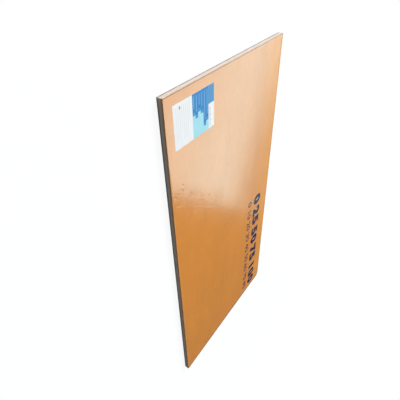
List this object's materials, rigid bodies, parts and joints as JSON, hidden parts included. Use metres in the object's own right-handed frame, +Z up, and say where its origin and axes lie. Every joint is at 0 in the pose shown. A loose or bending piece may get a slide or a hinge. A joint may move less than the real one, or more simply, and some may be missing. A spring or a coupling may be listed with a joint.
{
  "type": "soundproofing panel",
  "caption": "Flat rectangular soundproofing panel: a heavy pale core between two thin glossy brown facings, with a paper label near one corner and one rounded, worn corner.",
  "frame": {"origin": "centre of the panel's underside, on the floor it lies on", "axes": "+Z up out of the labelled face, +Y along the length towards the labelled end, +X across the width towards the printed long side"},
  "size_m": [0.6, 1.2, 0.0177],
  "materials": {
    "core": "matte",
    "facing": "gloss",
    "label_paper": "satin"
  },
  "bodies": {
    "root": {"core_board": "core", "back_facing": "facing", "front_facing": "facing", "label": "label_paper"}
  },
  "joints": []
}
